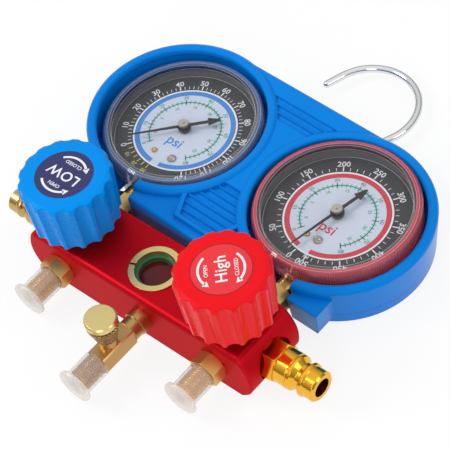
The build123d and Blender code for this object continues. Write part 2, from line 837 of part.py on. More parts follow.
for side, sign in sides.items():
    place = Pos(sign * gauge_x, gauge_offset, 0)
    parts[f"{side}_gauge_case"] = place * gauge_case()
    parts[f"{side}_gauge_socket"] = place * gauge_socket()
    parts[f"{side}_bourdon_tube"] = place * bourdon_tube()
    parts[f"{side}_movement_frame"] = place * movement_frame()
    parts[f"{side}_pointer_shaft"] = place * pointer_shaft()
    parts[f"{side}_sector_gear"] = place * Pos(sector_pivot.position) * sector_gear(side)
    parts[f"{side}_dial"] = place * dial_plate(side)
    zero = Pos(*screw_place[side], 0) * slotted_screw(dial_screw_radius, 1.0)
    parts[f"{side}_zero_screw"] = place * zero
    brass = Pos(*brass_place[side], 0) * slotted_screw(brass_screw_radius, 0.8)
    parts[f"{side}_dial_screw"] = place * brass
    parts[f"{side}_pointer"] = place * pointer(side)
    parts[f"{side}_lens_gasket"] = place * lens_gasket()
    parts[f"{side}_gauge_lens"] = place * gauge_lens()


# ---- blue rubber boot that holds the two gauges together ----
web_face = panel_back - 2.0
tab_x = gauge_x + stem_notch + tab_gap + tab_half_width
groove_floor = web_top - groove_depth


def cups(top):
    """The two tapered cups, solid, from the boot's bottom to a height."""
    slope = (boot_radius - boot_foot_radius) / (boot_rim - boot_floor)
    head = boot_foot_radius + slope * (top - boot_floor)
    return [
        Pos(sign * gauge_x, gauge_offset, 0) * turned((boot_foot_radius, boot_floor), (head, top))
        for sign in sides.values()
    ]


def panel(inset, floor, top):
    """Trapezoid panel between the cups, narrow towards the block."""
    wide, middle, narrow = (half - inset for half in panel_half_width.values())
    front = panel_front + inset
    outline = Polyline(
        (-narrow, front), (narrow, front), (middle, panel_middle), (wide, panel_back),
        (-wide, panel_back), (-middle, panel_middle), close=True,
    )
    return Pos(0, 0, floor) * extrude(make_face(outline), top - floor)


def box(half_width, front, back, floor, top):
    """Box across X = 0."""
    return Pos(0, (front + back) / 2, (floor + top) / 2) * Box(
        2 * half_width, back - front, top - floor
    )


def tab_blank(inset):
    """Box-shaped tab that narrows downwards, open towards the cup."""
    depth = tab_back - tab_front
    top = tab_top - inset
    face = Rectangle(2 * (tab_half_width - inset), depth - inset)
    blank = Pos(0, (tab_front + inset + tab_back) / 2, top) * extrude(
        face, tab_floor - top - 3 * inset, taper=tab_taper
    )
    return blank


def boot_outside():
    web = box(web_half_width, web_face, web_back, boot_floor, web_top)
    web = fillet(web.edges().filter_by(Axis.X).group_by(Axis.Y)[-1].sort_by(Axis.Z)[-1], 1.5)
    apron = box(apron_half_width, apron_front, web_face, boot_floor, apron_top)
    apron = fillet(apron.edges().filter_by(Axis.X).group_by(Axis.Y)[0].sort_by(Axis.Z)[-1], apron_edge)
    outside = web + apron + panel(0, boot_floor, web_top)
    for cup in cups(boot_rim - 2.0):
        outside += cup
    lip = turned(
        (boot_radius - 0.1, boot_rim - 2.0),
        (boot_radius - 0.6, boot_rim - 0.8),
        (boot_radius - 1.8, boot_rim),
        (boot_mouth_radius + 1.4, boot_rim),
        (boot_mouth_radius + 0.4, boot_rim - 0.4),
        (boot_mouth_radius, boot_rim - 1.2),
    )
    for sign in sides.values():
        outside += Pos(sign * gauge_x, gauge_offset, 0) * lip
        outside += Pos(sign * tab_x, 0, 0) * tab_blank(0)
    return outside


def boot_inside():
    """Hollow behind the web, the apron, the panel and the tabs, up to the cup walls."""
    wall = boot_wall
    floor = boot_floor - 1
    hollow = box(web_half_width - wall, web_face, web_back - wall, floor, groove_floor - wall)
    hollow += box(apron_half_width - wall, apron_front + wall, web_face + 1, floor, apron_top - wall)
    hollow += panel(wall, floor, groove_floor - wall)
    for sign in sides.values():
        hollow += Pos(sign * tab_x, 0, 0) * tab_blank(wall)
    for cup in cups(boot_rim):
        hollow -= cup
    return hollow


def boot_grooves():
    """Shallow bands across the web near its back edge and across the sunken panel."""
    grooves = Part()
    for band in range(3):
        front = web_back - 20.5 + band * groove_pitch
        grooves += box(gauge_x / 2, front, front + groove_width, groove_floor + 0.8, web_top + 1)
    strips = panel(panel_frame, web_top - panel_recess, web_top + 1)
    for band in range(panel_bands):
        front = panel_front + panel_frame + band * groove_pitch
        strip = box(gauge_x / 2, front, front + groove_width, groove_floor, web_top + 1)
        strips += strip & panel(panel_frame, groove_floor, web_top + 1)
    grooves += strips & box(gauge_x, 0, panel_front + panel_frame + panel_bands * groove_pitch,
                            groove_floor, web_top + 1)
    for cup in cups(boot_rim):
        grooves -= cup
    return grooves


def gauge_boot():
    shell = boot_outside() - boot_inside() - boot_grooves()
    inner_foot = boot_foot_radius - boot_wall
    pocket = turned((inner_foot, boot_floor + boot_grip_height), (inner_foot, boot_rim - boot_lip - 1),
                    (boot_mouth_radius, boot_rim - boot_lip + 1), (boot_mouth_radius, boot_rim + 1))
    for sign in sides.values():
        shell -= Pos(sign * gauge_x, gauge_offset, 0) * pocket
        notch = box(stem_notch, 0, gauge_offset - boot_radius / 2, boot_floor - 1, boot_rim + 1)
        shell -= Pos(sign * gauge_x, 0, 0) * notch
    shell = Pos(0, 0, boot_rim) * Rot(0, boot_tilt, 0) * Pos(0, 0, -boot_rim) * shell
    for sign in sides.values():
        shell -= Pos(sign * gauge_x, gauge_offset, 0) * bar(case_radius, -5, boot_rim + 10)
    channel_top = hook_height + hook_wire_radius + 1.2
    return shell - box(hook_channel, 0, web_back + 10, 0, channel_top)


parts["gauge_boot"] = gauge_boot()


# ---- hanging hook and the bush that it turns in ----
bush_end = block_face + bush_flange
hook_head_face = block_face - bush_depth


def hook():
    """Round wire: head in the block, straight shank, sharp neck, wide bow and straight tip."""
    cx, cy = hook_centre
    bow = CenterArc((cx, cy), hook_bend_radius, hook_bow_start, hook_bow_end - hook_bow_start)
    start, end = bow @ 0, bow @ 1
    heading = bow % 0
    corner = start - heading * 8.0
    tip = end + (bow % 1) * hook_tip_length
    neck = FilletPolyline((0, hook_head_face), (0, hook_neck_y), (corner.X, corner.Y),
                          (start.X, start.Y), radius=hook_neck_radius)
    path = Wire([*neck.edges(), *bow.edges(), Line(end, tip).edge()])
    section = Plane(origin=(0, hook_head_face, 0), z_dir=(0, 1, 0)) * Circle(hook_wire_radius)
    rod = sweep(section, path=path) + Pos(tip.X, tip.Y, 0) * Sphere(hook_wire_radius)
    head = Pos(0, hook_head_face, 0) * towards["front"] * bar(hook_head_radius, 0, hook_head_length)
    return rod + head


def hook_bush():
    bush = bar(bush_radius, hook_head_face, block_face)
    bush += turned(
        (bush_flange_radius - 0.5, block_face),
        (bush_flange_radius, block_face + 0.5),
        (bush_flange_radius, bush_end - 0.5),
        (bush_flange_radius - 0.5, bush_end),
    )
    return towards["back"] * (bush - bar(hook_wire_radius + slip, hook_head_face - 1, bush_end + 1))


parts["hook"] = Pos(0, 0, hook_height) * hook()
parts["hook_bush"] = Pos(0, 0, hook_height) * hook_bush()


for name, shape in parts.items():
    export_step(shape, f"parts/{name}.step")
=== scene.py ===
import bmesh
import bpy
from math import atan2, cos, pi, radians, sin
from mathutils import Matrix, Vector


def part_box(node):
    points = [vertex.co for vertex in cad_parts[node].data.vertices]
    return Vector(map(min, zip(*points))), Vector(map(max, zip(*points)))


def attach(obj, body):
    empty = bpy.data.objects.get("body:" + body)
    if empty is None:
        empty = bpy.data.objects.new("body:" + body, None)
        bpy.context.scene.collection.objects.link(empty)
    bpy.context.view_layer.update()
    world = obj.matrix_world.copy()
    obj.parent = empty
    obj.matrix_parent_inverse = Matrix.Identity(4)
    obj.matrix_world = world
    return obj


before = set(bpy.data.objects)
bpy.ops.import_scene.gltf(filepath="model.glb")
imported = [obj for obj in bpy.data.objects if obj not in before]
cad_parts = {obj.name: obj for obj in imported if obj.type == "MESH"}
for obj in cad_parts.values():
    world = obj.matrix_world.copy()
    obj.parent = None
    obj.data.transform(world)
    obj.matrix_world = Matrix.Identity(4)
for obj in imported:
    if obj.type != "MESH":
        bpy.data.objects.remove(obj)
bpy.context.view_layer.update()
scene = bpy.context.scene
scene.view_settings.view_transform = "Standard"

# ---- camera ----
# A long lens looks down at the high side end of the block, with the gauges behind it.
# Its three axes and its place are given in the part's own frame.
camera = bpy.data.objects.new("camera", bpy.data.cameras.new("camera"))
camera.data.sensor_width = 36.0
camera.data.lens = 148.0
camera.data.clip_end = 20.0
right = Vector((0.74880, 0.64447, -0.15479))
down = Vector((0.43806, -0.65647, -0.61413))
ahead = Vector((-0.49740, 0.39205, -0.77388))
turn = Matrix((right, -down, -ahead)).transposed().to_4x4()
camera.matrix_world = Matrix.Translation((0.4373, -0.2989, 0.6931)) @ turn
scene.collection.objects.link(camera)
scene.camera = camera

# ---- manifold block ----
# A length of extruded aluminium, machined and anodised red. The finish is satin, with the
# very fine grain of the blasting that it had before the dye.
patch_scale = 22.0
grain_share, patch_share = 0.4, 0.6
grain_height = 0.0004


def feed(tree, socket, value):
    """Sets a socket to a plain value, or links another node's output to it."""
    if isinstance(value, bpy.types.NodeSocket):
        tree.links.new(value, socket)
    else:
        socket.default_value = value


def reckon(tree, operation, *values, clamp=False):
    """Adds a maths node fed with numbers or outputs, and gives its result."""
    node = tree.nodes.new("ShaderNodeMath")
    node.operation = operation
    node.use_clamp = clamp
    for socket, value in zip(node.inputs, values):
        feed(tree, socket, value)
    return node.outputs[0]


def spread(tree, value, low, high, start=0.0, end=1.0):
    """Stretches a value that runs from start to end so that it runs from low to high."""
    node = tree.nodes.new("ShaderNodeMapRange")
    for limit, amount in (("From Min", start), ("From Max", end), ("To Min", low), ("To Max", high)):
        node.inputs[limit].default_value = amount
    tree.links.new(value, node.inputs["Value"])
    return node.outputs["Result"]


def ramp(tree, value, stops):
    """Turns a value into a colour by stops, each a place from 0 to 1 and a colour."""
    node = tree.nodes.new("ShaderNodeValToRGB")
    while len(node.color_ramp.elements) < len(stops):
        node.color_ramp.elements.new(0.5)
    for element, (place, colour) in zip(node.color_ramp.elements, stops):
        element.position = place
        element.color = colour
    tree.links.new(value, node.inputs["Fac"])
    return node


def own_place(tree):
    """The place on the piece, in its own coordinates."""
    return tree.nodes.new("ShaderNodeTexCoord").outputs["Object"]


def speckle(tree, scale, detail):
    """A noise over the piece's own coordinates."""
    node = tree.nodes.new("ShaderNodeTexNoise")
    node.inputs["Scale"].default_value = scale
    node.inputs["Detail"].default_value = detail
    tree.links.new(own_place(tree), node.inputs["Vector"])
    return node.outputs["Fac"]


def finish(name, colour, rough, metal=0.0, grain=900.0, depth=0.04, shade=0.88, edge=0.0, **sockets):
    """Opaque material whose colour, gloss and surface all vary a little with a fine grain."""
    made = bpy.data.materials.new(name)
    made.use_nodes = True
    tree = made.node_tree
    skin = tree.nodes["Principled BSDF"]
    skin.inputs["Metallic"].default_value = metal
    for socket, value in sockets.items():
        skin.inputs[socket.replace("_", " ")].default_value = value
    fine = speckle(tree, grain, 3.0)
    broad = reckon(tree, "MULTIPLY", speckle(tree, patch_scale, 2.0), patch_share)
    mottle = reckon(tree, "MULTIPLY_ADD", fine, grain_share, broad)
    shaded = [part * shade for part in colour]
    tint = ramp(tree, mottle, ((0.3, (*shaded, 1.0)), (0.7, (*colour, 1.0))))
    tree.links.new(tint.outputs["Color"], skin.inputs["Base Color"])
    tree.links.new(spread(tree, mottle, rough * 0.8, rough * 1.2), skin.inputs["Roughness"])
    bump = tree.nodes.new("ShaderNodeBump")
    bump.inputs["Strength"].default_value = depth
    bump.inputs["Distance"].default_value = grain_height
    tree.links.new(fine, bump.inputs["Height"])
    if edge:
        soft = tree.nodes.new("ShaderNodeBevel")
        soft.samples = 4
        soft.inputs["Radius"].default_value = edge
        tree.links.new(soft.outputs["Normal"], bump.inputs["Normal"])
    tree.links.new(bump.outputs["Normal"], skin.inputs["Normal"])
    return made


def coat(made, *nodes):
    """Gives CAD nodes their finish."""
    for node in nodes:
        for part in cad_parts[node].material_slots:
            part.material = made


coat(finish("red_anodised_aluminium", colour=(0.54, 0.003, 0.010), rough=0.46, metal=0.62,
            grain=1500.0, depth=0.06, shade=0.9, edge=0.0003, Specular_Tint=(1.0, 0.2, 0.25, 1.0)),
     "manifold_block")

# ---- sight glass ----
# A thick glass disc over the mixing chamber, sealed by a green rubber ring and held down by
# a split brass ring. The glass is coloured dark red as painted shade of the chamber behind it.
coat(finish("painted_shade_chamber_glass", colour=(0.16, 0.008, 0.012), rough=0.06, grain=60.0,
            depth=0.02, shade=0.3, Specular_IOR_Level=0.25),
     "sight_glass")
coat(finish("green_seal_rubber", colour=(0.03, 0.13, 0.06), rough=0.35, grain=700.0, depth=0.1),
     "sight_glass_seal")
brass = finish("turned_brass", colour=(0.66, 0.43, 0.15), rough=0.25, metal=1.0, grain=1100.0,
               depth=0.05, shade=0.8, edge=0.0003)
pale_brass = finish("pale_brass", colour=(0.80, 0.64, 0.27), rough=0.32, metal=1.0, grain=1100.0,
                    depth=0.05, shade=0.85, edge=0.0003)
coat(pale_brass, "sight_glass_ring")

# ---- valves and hand wheels ----
# Brass bonnets and stems, and moulded plastic hand wheels, blue for the low side and red
# for the high side. Each wheel has a printed disc over the screw that holds it.
coat(brass, "low_valve_bonnet", "high_valve_bonnet", "low_valve_stem", "high_valve_stem")
coat(finish("seal_rubber", colour=(0.02, 0.02, 0.02), rough=0.5, grain=800.0, depth=0.1),
     "low_stem_seal", "high_stem_seal", "low_lens_gasket", "high_lens_gasket", "service_cap_seal")
coat(finish("screw_steel", colour=(0.62, 0.61, 0.58), rough=0.3, metal=1.0, depth=0.06, shade=0.8),
     "low_knob_screw", "high_knob_screw", "charging_valve_pin", "charging_valve_spring")
coat(finish("blue_wheel_plastic", colour=(0.001, 0.27, 0.82), rough=0.27, grain=500.0, shade=0.92,
            edge=0.0009, Specular_Tint=(0.1, 0.7, 1.0, 1.0), Specular_IOR_Level=0.2),
     "low_knob")
coat(finish("red_wheel_plastic", colour=(0.86, 0.008, 0.014), rough=0.27, grain=500.0, shade=0.92,
            edge=0.0009, Specular_Tint=(1.0, 0.3, 0.3, 1.0), Specular_IOR_Level=0.2),
     "high_knob")
coat(finish("navy_disc", colour=(0.022, 0.022, 0.13), rough=0.3, grain=500.0, depth=0.03, shade=0.9),
     "low_knob_label")
coat(finish("red_disc", colour=(0.83, 0.018, 0.03), rough=0.34, grain=500.0, depth=0.03, shade=0.94),
     "high_knob_label")
white_print = finish("white_print", colour=(0.86, 0.87, 0.9), rough=0.4, depth=0.02, shade=0.95)
# The dark ring round each printed disc is painted shade in the groove between the disc and its wheel.
groove_shade = {
    "low": finish("navy_groove_shade", colour=(0.01, 0.03, 0.2), rough=0.5, grain=500.0, depth=0.02),
    "high": finish("red_groove_shade", colour=(0.30, 0.0, 0.004), rough=0.5, grain=500.0, depth=0.02),
}

letter_weight = 0.012
band_step = 3.0
groove_inner, groove_outer = 0.01355, 0.01395
groove_lift, print_lift = 0.00003, 0.00004
arc_inner, arc_outer, arc_sweep = 0.0098, 0.0109, 88.0
arrow_radius = 0.0019
side_word_size = 0.0076
turn_word_size, turn_word_rise = 0.0026, 0.0068


def axis_and_top(node):
    """The upright line through a CAD node's middle, and the height of its top."""
    low_corner, high_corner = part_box(node)
    middle = (low_corner + high_corner) / 2
    middle.z = 0.0
    return middle, high_corner.z


def turned(angle):
    """A turn about the upright, in degrees."""
    return Matrix.Rotation(radians(angle), 4, "Z")


def from_bmesh(name, shape):
    """Ends a bmesh and gives its mesh."""
    mesh = bpy.data.meshes.new(name)
    shape.to_mesh(mesh)
    shape.free()
    return mesh


def piece(name, shape, made, body):
    """Puts a finished shape in the scene with its material, riding on a body."""
    mesh = from_bmesh(name, shape)
    mesh.materials.append(made)
    thing = bpy.data.objects.new(name, mesh)
    scene.collection.objects.link(thing)
    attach(thing, body)


def add_word(shape, text, size, place, spacing=1.0):
    """Adds flat lettering, centred, to a bmesh."""
    curve = bpy.data.curves.new("word", "FONT")
    curve.body = text
    curve.size = size
    curve.space_character = spacing
    curve.offset = size * letter_weight
    curve.resolution_u = 3
    curve.align_x = "CENTER"
    curve.align_y = "CENTER"
    holder = bpy.data.objects.new("word", curve)
    scene.collection.objects.link(holder)
    letters = bpy.data.meshes.new_from_object(holder)
    letters.transform(place)
    shape.from_mesh(letters)
    bpy.data.objects.remove(holder)
    bpy.data.curves.remove(curve)
    bpy.data.meshes.remove(letters)


def add_band(shape, centre, inner, outer, start, sweep, height):
    """Adds a flat ring or a part of one, its angles in degrees from +X."""
    first = Vector((cos(radians(start)), sin(radians(start)), 0.0))
    lift = Vector((0.0, 0.0, height))
    ends = [shape.verts.new(centre + first * radius + lift) for radius in (inner, outer)]
    edge = shape.edges.new(ends)
    whole = abs(sweep) >= 359.9
    bmesh.ops.spin(shape, geom=[*ends, edge], cent=centre + lift, axis=(0, 0, 1), dvec=(0, 0, 0),
                   angle=radians(sweep), steps=max(6, int(abs(sweep) / band_step)), use_merge=whole,
                   use_normal_flip=False, use_duplicate=False)
    bmesh.ops.recalc_face_normals(shape, faces=shape.faces)
    if shape.faces[0].normal.z < 0:
        bmesh.ops.reverse_faces(shape, faces=shape.faces)


for side, word, baseline in (("low", "LOW", 180.0), ("high", "High", 135.0)):
    middle, top = axis_and_top(f"{side}_knob_label")
    groove = bmesh.new()
    add_band(groove, middle, groove_inner, groove_outer, 0.0, 360.0, top + groove_lift)
    piece(f"{side}_disc_groove_shade", groove, groove_shade[side], f"{side}_spindle")

    upright = Matrix.Translation((middle.x, middle.y, top + print_lift)) @ turned(baseline)
    disc_print = bmesh.new()
    for start, sweep in ((45.0, arc_sweep), (315.0, -arc_sweep)):
        add_band(disc_print, middle, arc_inner, arc_outer, baseline + start, sweep, top + print_lift)
    add_word(disc_print, word, side_word_size, upright, 1.05)
    for turn_word, rise in (("OPEN", turn_word_rise), ("CLOSED", -turn_word_rise)):
        add_word(disc_print, turn_word, turn_word_size, upright @ Matrix.Translation((0, rise, 0)))
    for angle, heading in ((135.0, 0.0), (225.0, -180.0)):
        out = Matrix.Translation(((arc_inner + arc_outer) / 2, 0, 0))
        tip = bmesh.ops.create_circle(disc_print, cap_ends=True, segments=3, radius=arrow_radius,
                                      matrix=upright @ turned(angle) @ out @ turned(heading))
        bmesh.ops.recalc_face_normals(disc_print, faces=list(tip["verts"][0].link_faces))
    piece(f"{side}_disc_print", disc_print, white_print, f"{side}_spindle")

# ---- hose ports and dust caps ----
# Brass flare fittings, each under a push-on cap of natural polyethylene. The thread shows
# through the cap as soft rings, and the thicker flange at its mouth is whiter.
coat(finish("port_brass", colour=(0.78, 0.47, 0.15), rough=0.3, metal=0.88, grain=1100.0,
            depth=0.06, shade=0.8, edge=0.0003),
     "low_hose_fitting", "high_hose_fitting", "charging_valve_core")
# The charging tee takes a darker, browner brass, which is painted shade matched to its shaded side.
coat(finish("painted_shade_brass", colour=(0.56, 0.33, 0.12), rough=0.33, metal=1.0, grain=1100.0,
            depth=0.06, shade=0.8, edge=0.0003),
     "charging_tee")

thread_pitch = 0.00127
flange_start, flange_end = 0.0026, 0.0018
cap_share, ring_share, flange_share = 0.2, 0.08, 0.42
haze_scale = 300.0


def parts_of(tree, vector):
    """Splits a vector into its X, Y and Z."""
    node = tree.nodes.new("ShaderNodeSeparateXYZ")
    tree.links.new(vector, node.inputs["Vector"])
    return node.outputs


def either(tree, share, first, second):
    """Mixes two shaders, by the share that the second one has."""
    node = tree.nodes.new("ShaderNodeMixShader")
    feed(tree, node.inputs["Fac"], share)
    tree.links.new(first, node.inputs[1])
    tree.links.new(second, node.inputs[2])
    return node


def sheer(name, rough):
    """Thin plastic seen through. Its node named hold takes the share of light it holds back."""
    made = bpy.data.materials.new(name)
    made.use_nodes = True
    tree = made.node_tree
    skin = tree.nodes["Principled BSDF"]
    skin.inputs["Roughness"].default_value = rough
    through = tree.nodes.new("ShaderNodeBsdfTransparent")
    through.inputs["Color"].default_value = (0.98, 0.98, 0.98, 1.0)
    hold = either(tree, 0.5, through.outputs["BSDF"], skin.outputs["BSDF"])
    hold.name = "hold"
    facing = tree.nodes.new("ShaderNodeLayerWeight").outputs["Facing"]
    gleam = spread(tree, reckon(tree, "POWER", facing, 4.0), 0.025, 0.7)
    sheen = tree.nodes.new("ShaderNodeBsdfGlossy")
    sheen.inputs["Roughness"].default_value = rough
    whole = either(tree, gleam, hold.outputs["Shader"], sheen.outputs["BSDF"])
    tree.links.new(whole.outputs["Shader"], tree.nodes["Material Output"].inputs["Surface"])
    return made


for node in ("low_dust_cap", "high_dust_cap", "charging_dust_cap"):
    milky = sheer(f"{node}_plastic", rough=0.35)
    tree = milky.node_tree
    skin = tree.nodes["Principled BSDF"]
    skin.inputs["Base Color"].default_value = (1.0, 0.97, 0.91, 1.0)
    glow = tree.nodes.new("ShaderNodeBsdfTranslucent")
    glow.inputs["Color"].default_value = (1.0, 0.97, 0.93, 1.0)
    lit = either(tree, 0.5, skin.outputs["BSDF"], glow.outputs["BSDF"])
    tree.links.new(lit.outputs["Shader"], tree.nodes["hold"].inputs[2])
    haze = spread(tree, speckle(tree, haze_scale, 2.0), cap_share * 0.85, cap_share * 1.15)
    along = parts_of(tree, own_place(tree))["Y"]
    rings = reckon(tree, "SINE", reckon(tree, "MULTIPLY", along, 2 * pi / thread_pitch))
    ringed = reckon(tree, "MULTIPLY_ADD", rings, ring_share, haze)
    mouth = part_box(node)[0].y
    flange = spread(tree, along, 0.0, flange_share, mouth + flange_start, mouth + flange_end)
    held = reckon(tree, "ADD", ringed, flange, clamp=True)
    tree.links.new(held, tree.nodes["hold"].inputs["Fac"])
    coat(milky, node)

# ---- service cap ----
# A brass screw cap with a plain turned top and a diamond-knurled skirt to grip. The bright
# face of the top is a thin crown laid over the head, and the knurl, with painted shade in its grooves,
# is cut below it.
crown_lift = 0.00012
crown_top, crown_radius, crown_lip = 0.0071, 0.00775, 0.0070
crown_edge, crown_side, crown_depth = 0.00065, 0.0031, 0.0036
knurl_below = 0.0040


def lay_over(tree, share, below, above):
    """Lays one colour over another, by the share that the upper one has."""
    node = tree.nodes.new("ShaderNodeMix")
    node.data_type = "RGBA"
    for socket, value in (("Factor", share), ("A", below), ("B", above)):
        feed(tree, node.inputs[socket], value)
    return node.outputs["Result"]


def about_axis(tree, centre, flat=False):
    """The place on the piece counted from an upright axis, without its height when flat."""
    shift = tree.nodes.new("ShaderNodeMapping")
    shift.inputs["Location"].default_value = -centre
    shift.inputs["Scale"].default_value = (1.0, 1.0, 0.0 if flat else 1.0)
    tree.links.new(own_place(tree), shift.inputs["Vector"])
    return shift.outputs["Vector"]


def round_axis(face):
    """A number that puts the crown's faces in one order, ring by ring and then by angle."""
    middle = face.calc_center_median() - cap_axis
    return round(middle.z * 1e5) * 10 + atan2(middle.y, middle.x)


def knurl(made, centre, ridges, slope, depth, top, groove_shade_colour):
    """Cuts diamond ridges round an upright axis, below the height top, and paints shade into the grooves
    between them.
    """
    tree = made.node_tree
    skin = tree.nodes["Principled BSDF"]
    across, along, height = parts_of(tree, about_axis(tree, centre))
    wound = reckon(tree, "MULTIPLY", reckon(tree, "ARCTAN2", along, across), ridges)
    waves = [reckon(tree, "SINE", reckon(tree, "MULTIPLY_ADD", height, lean, wound))
             for lean in (slope, -slope)]
    least = reckon(tree, "MINIMUM", *waves)
    kept = reckon(tree, "MULTIPLY", least, reckon(tree, "LESS_THAN", height, top))
    bump = tree.nodes.new("ShaderNodeBump")
    bump.inputs["Strength"].default_value = 1.0
    bump.inputs["Distance"].default_value = depth
    tree.links.new(kept, bump.inputs["Height"])
    tree.links.new(bump.outputs["Normal"], skin.inputs["Normal"])
    # Painted shade: the knurl's grooves take the dark colour given for them, and the ridges keep the
    # brass.
    ridge = spread(tree, kept, 0.0, 1.0, -0.9, -0.3)
    bright = skin.inputs["Base Color"].links[0].from_socket
    tree.links.new(lay_over(tree, ridge, groove_shade_colour, bright), skin.inputs["Base Color"])
    return made


cap_axis, cap_top = axis_and_top("service_cap")
knurled_brass = finish("knurled_brass", colour=(0.80, 0.58, 0.24), rough=0.24, metal=1.0,
                       grain=1100.0, depth=0.05, shade=0.8)
coat(knurl(knurled_brass, cap_axis, ridges=26.0, slope=3600.0, depth=0.0005,
           top=cap_top - knurl_below, groove_shade_colour=(0.20, 0.10, 0.025, 1.0)),
     "service_cap")
crown = bmesh.new()
outline = [(0.0, 0.0), (crown_top, 0.0), (crown_radius, -crown_edge), (crown_radius, -crown_side),
           (crown_lip, -crown_depth)]
corners = [crown.verts.new((cap_axis.x + radius, cap_axis.y, cap_top + crown_lift + height))
           for radius, height in outline]
edges = [crown.edges.new(pair) for pair in zip(corners, corners[1:])]
bmesh.ops.spin(crown, geom=corners + edges, cent=cap_axis, axis=(0, 0, 1), dvec=(0, 0, 0),
               angle=2 * pi, steps=64, use_merge=True, use_normal_flip=False, use_duplicate=False)
bmesh.ops.remove_doubles(crown, verts=crown.verts, dist=0.00001)
bmesh.ops.recalc_face_normals(crown, faces=crown.faces)
crown.faces.sort(key=round_axis)    # the merge leaves them in no fixed order
piece("service_cap_crown", crown, pale_brass, "service_cap_turn")

# ---- parking ports ----
# Brass fittings screwed into the two ends of the block, on which hose couplers are parked.
# The low side one is plain turned brass, and the high side one is anodised a deep gold.
coat(brass, "low_parking_port")
coat(finish("gold_anodised", colour=(0.95, 0.50, 0.045), rough=0.16, metal=1.0, grain=1300.0,
            shade=0.85, edge=0.0003),
     "high_parking_port")

# ---- gauges ----
# Pressed steel cases with a brass socket, Bourdon tube and geared movement behind a printed
# dial, under a clear screw-on lens with a ribbed skirt.
coat(brass, "low_gauge_socket", "high_gauge_socket", "low_movement_frame", "high_movement_frame",
     "low_sector_gear", "high_sector_gear", "low_pointer_shaft", "high_pointer_shaft",
     "low_dial_screw", "high_dial_screw", "hook_bush")
coat(finish("tube_bronze", colour=(0.62, 0.38, 0.18), rough=0.3, metal=1.0, depth=0.05, shade=0.8),
     "low_bourdon_tube", "high_bourdon_tube")
coat(finish("blue_case_paint", colour=(0.02, 0.07, 0.30), rough=0.25, grain=600.0, depth=0.05),
     "low_gauge_case")
coat(finish("red_case_paint", colour=(0.55, 0.01, 0.03), rough=0.25, grain=600.0, depth=0.05),
     "high_gauge_case")
coat(finish("dial_enamel", colour=(0.62, 0.69, 0.82), rough=0.45, grain=500.0, depth=0.02, shade=0.97),
     "low_dial", "high_dial")
coat(finish("zero_screw_steel", colour=(0.46, 0.42, 0.36), rough=0.3, metal=1.0, depth=0.06,
            shade=0.7, edge=0.0002),
     "low_zero_screw", "high_zero_screw")
pointer_black = finish("pointer_black", colour=(0.008, 0.008, 0.010), rough=0.4, grain=800.0, depth=0.02)
coat(pointer_black, "low_pointer", "high_pointer")
hub_steel = finish("hub_steel", colour=(0.60, 0.57, 0.52), rough=0.3, metal=1.0, depth=0.06, shade=0.85)
dial_black = finish("dial_black", colour=(0.028, 0.029, 0.036), rough=0.5, grain=200.0, depth=0.0,
                    shade=0.93)
dial_green = finish("dial_green", colour=(0.02, 0.33, 0.20), rough=0.5, grain=500.0, depth=0.02)
dial_yellow = finish("dial_yellow", colour=(0.66, 0.60, 0.12), rough=0.5, grain=500.0, depth=0.02)
ring_ink = {
    "low": finish("blue_ink", colour=(0.04, 0.26, 0.72), rough=0.4, grain=500.0, depth=0.02),
    "high": finish("red_ink", colour=(0.66, 0.03, 0.06), rough=0.4, grain=500.0, depth=0.02),
}

# The outer scale: where it starts, what a mark turns and reads, and the gap in its ring.
scales = {
    "low": {"zero": 230.7, "step": -23.6, "marks": 12, "value": 10, "gap": (267.0, 278.0)},
    "high": {"zero": 261.5, "step": -34.6, "marks": 10, "value": 50, "gap": (259.0, 275.0)},
}
first_ink, second_ink, third_ink, last_ink = 0.00004, 0.00005, 0.00007, 0.00008
ring_inner, ring_outer, white_outer, black_outer = 0.0226, 0.0252, 0.0261, 0.0352
strokes_per_mark = 5
number_radius = 0.0307
unit_radius, unit_size = 0.0270, 0.0024
green_start, green_sweep, green_strokes = 236.0, 284.0, 40
green_inner_start = 218.0
vacuum_step, vacuum_marks = 6.4, 6
hub_height, pin_height, boss_height = 0.0052, 0.0059, 0.0018


def add_ticks(shape, centre, height, angles, inner, outer, width):
    """Adds short radial strokes at the given angles."""
    for angle in angles:
        place = (Matrix.Translation(centre + Vector((0, 0, height))) @ turned(angle)
                 @ Matrix.Translation(((inner + outer) / 2, 0, 0)))
        bmesh.ops.create_grid(shape, x_segments=1, y_segments=1, size=0.5,
                              matrix=place @ Matrix.Diagonal((outer - inner, width, 1, 1)))


def add_numbers(shape, centre, height, numbers, radius, size):
    """Adds numbers round a dial, each with its top outwards."""
    for text, angle in numbers:
        place = (Matrix.Translation(centre + Vector((0, 0, height))) @ turned(angle)
                 @ Matrix.Translation((radius, 0, 0)) @ turned(-90))
        add_word(shape, text, size, place)


def add_button(shape, centre, height, lower, upper, depth, segments=48):
    """Adds a short upright cone, cut off at both ends."""
    bmesh.ops.create_cone(shape, cap_ends=True, segments=segments, radius1=lower, radius2=upper,
                          depth=depth, matrix=Matrix.Translation(centre + Vector((0, 0, height))))


